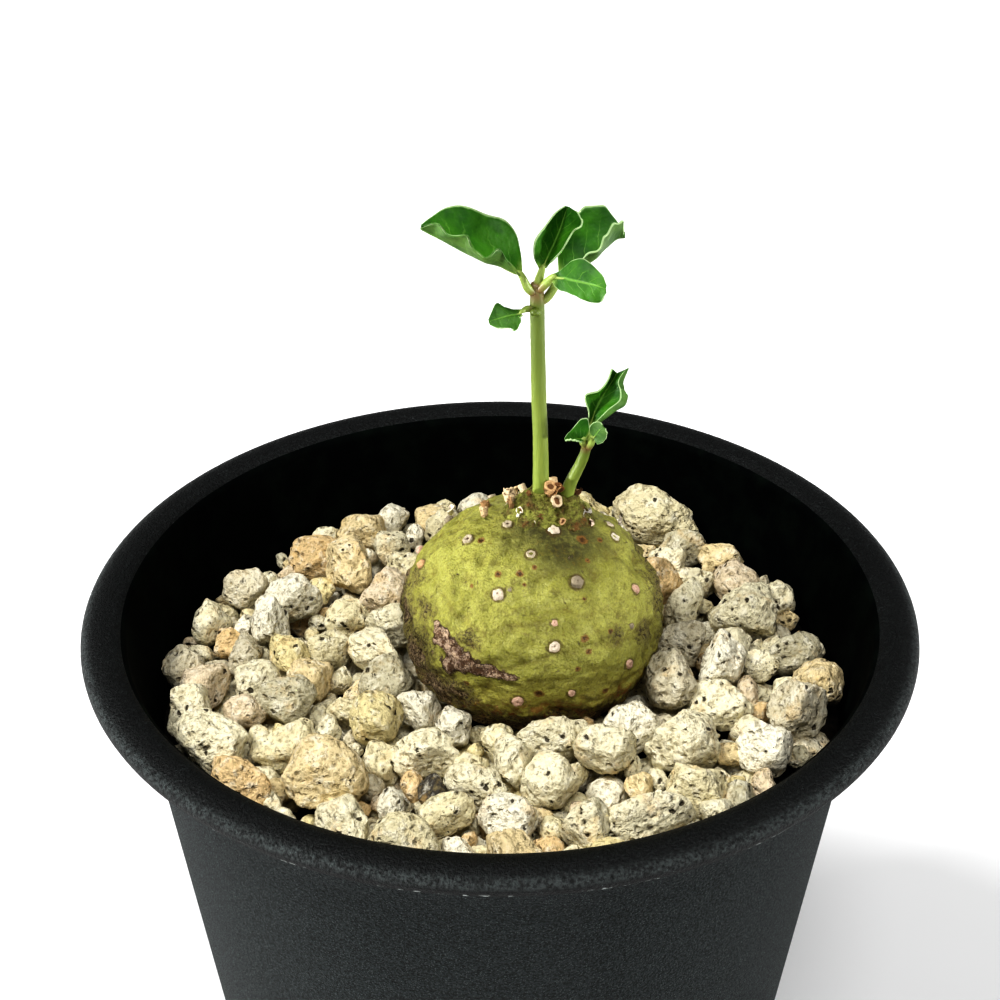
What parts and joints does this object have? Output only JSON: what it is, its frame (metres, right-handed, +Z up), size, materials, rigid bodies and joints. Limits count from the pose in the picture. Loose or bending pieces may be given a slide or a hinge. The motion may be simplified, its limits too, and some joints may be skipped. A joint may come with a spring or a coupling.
{
  "type": "potted round-caudex succulent",
  "caption": "Round green caudex with corky leaf scars, an upright leafy stem and a short side shoot, standing in pumice in a tapered round nursery pot with a rolled lip.",
  "frame": {"origin": "middle of the flat foot of the pot, on the surface it stands on", "axes": "+Z up along the pot and the main stem, -Y towards the viewer, +X towards the side shoot"},
  "size_m": [0.09, 0.09, 0.1255],
  "materials": {
    "pot_plastic": "satin",
    "soil_mix": "matte",
    "pumice": "matte",
    "caudex_skin": "satin",
    "stem_skin": "satin",
    "leaf": "satin"
  },
  "bodies": {
    "root": {"pot": "pot_plastic", "potting_soil": "soil_mix", "pumice_gravel": "pumice", "caudex": "caudex_skin", "main_stem": "stem_skin", "side_stem": "stem_skin", "leaf_left": "leaf", "leaf_upright": "leaf", "leaf_right_back": "leaf", "leaf_right_front": "leaf", "leaf_small_left": "leaf", "side_leaf_main": "leaf", "side_leaf_left": "leaf", "side_leaf_lobe": "leaf"}
  },
  "joints": []
}
